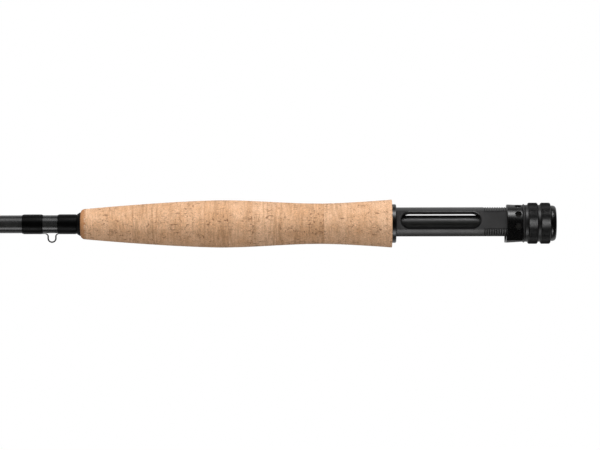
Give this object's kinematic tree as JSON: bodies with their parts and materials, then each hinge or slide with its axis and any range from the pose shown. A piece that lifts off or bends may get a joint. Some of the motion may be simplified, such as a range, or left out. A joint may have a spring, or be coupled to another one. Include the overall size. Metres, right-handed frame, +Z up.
{
  "type": "fly fishing rod",
  "caption": "Long tapered fly rod with a shaped cork grip, a skeleton reel seat with a sliding hood and turning lock rings, a hook keeper and line guides hung under the blank.",
  "frame": {"origin": "centre of the flat rear face of the butt cap, on the rod's axis", "axes": "-X along the rod towards the tip, so +X points out of the butt; +Z up; the reel foot's flat, the hook keeper and the line guides are on the underside, -Z"},
  "size_m": [3.048, 0.0254, 0.033],
  "materials": {
    "anodised_black": "gloss",
    "anodised_barrel": "satin",
    "washer_acetal": "matte",
    "rubber_black": "satin",
    "carbon": "gloss",
    "thread_epoxy": "gloss",
    "cork": "matte",
    "cork_composite": "matte",
    "guide_wire": "polished",
    "guide_ceramic": "gloss"
  },
  "bodies": {
    "butt_section": {"butt_cap": "anodised_black", "seat_barrel": "anodised_barrel", "core_tube": "carbon", "fixed_hood": "anodised_black", "cork_ring_1": "cork", "cork_ring_2": "cork", "cork_ring_3": "cork", "cork_ring_4": "cork", "cork_ring_5": "cork", "cork_ring_6": "cork", "cork_ring_7": "cork", "cork_ring_8": "cork", "cork_ring_9": "cork", "cork_ring_10": "cork", "cork_ring_11": "cork", "cork_ring_12": "cork", "cork_ring_13": "cork", "nose_ring": "cork_composite", "winding_check": "rubber_black", "butt_blank": "carbon", "hook_keeper": "guide_wire", "keeper_wraps": "thread_epoxy", "stripping_guide_1": "guide_wire", "guide_insert_1": "guide_ceramic", "guide_wraps_1": "thread_epoxy"},
    "sliding_hood": {"sliding_hood": "anodised_black", "thrust_washer": "washer_acetal"},
    "lock_ring_front": {"lock_ring_front": "anodised_black"},
    "lock_ring_rear": {"lock_ring_rear": "anodised_black"},
    "lower_mid_section": {"lower_mid_blank": "carbon", "lower_mid_socket_wrap": "thread_epoxy", "stripping_guide_2": "guide_wire", "guide_insert_2": "guide_ceramic", "snake_guide_1": "guide_wire", "guide_wraps_2": "thread_epoxy", "guide_wraps_3": "thread_epoxy"},
    "upper_mid_section": {"upper_mid_blank": "carbon", "upper_mid_socket_wrap": "thread_epoxy", "snake_guide_2": "guide_wire", "snake_guide_3": "guide_wire", "snake_guide_4": "guide_wire", "guide_wraps_4": "thread_epoxy", "guide_wraps_5": "thread_epoxy", "guide_wraps_6": "thread_epoxy"},
    "tip_section": {"tip_blank": "carbon", "tip_socket_wrap": "thread_epoxy", "snake_guide_5": "guide_wire", "snake_guide_6": "guide_wire", "snake_guide_7": "guide_wire", "snake_guide_8": "guide_wire", "snake_guide_9": "guide_wire", "guide_wraps_7": "thread_epoxy", "guide_wraps_8": "thread_epoxy", "guide_wraps_9": "thread_epoxy", "guide_wraps_10": "thread_epoxy", "guide_wraps_11": "thread_epoxy", "tip_tube": "guide_wire", "tip_ring": "guide_wire", "tip_ring_wrap": "thread_epoxy"}
  },
  "joints": [
    {"name": "hood_slide", "type": "slide", "parent": "butt_section", "child": "sliding_hood", "axis": [-1, 0, 0], "range_m": [0, 0.02159]},
    {"name": "front_ring_turn", "type": "hinge", "parent": "sliding_hood", "child": "lock_ring_front", "pos_m": [-0.0131, 0, 0], "axis": [-1, 0, 0], "range_deg": [0, 6120]},
    {"name": "rear_ring_turn", "type": "hinge", "parent": "sliding_hood", "child": "lock_ring_rear", "pos_m": [-0.0064, 0, 0], "axis": [-1, 0, 0], "range_deg": [0, 6120]},
    {"name": "lower_mid_slide", "type": "slide", "parent": "butt_section", "child": "lower_mid_section", "axis": [-1, 0, 0], "range_m": [0, 0.06]},
    {"name": "upper_mid_slide", "type": "slide", "parent": "lower_mid_section", "child": "upper_mid_section", "axis": [-1, 0, 0], "range_m": [0, 0.06]},
    {"name": "tip_slide", "type": "slide", "parent": "upper_mid_section", "child": "tip_section", "axis": [-1, 0, 0], "range_m": [0, 0.06]}
  ],
  "couplings": [
    {"joint": "hood_slide", "follows": "front_ring_turn", "m_per_rad": 0.00020213},
    {"joint": "rear_ring_turn", "follows": "front_ring_turn", "ratio": 1}
  ]
}
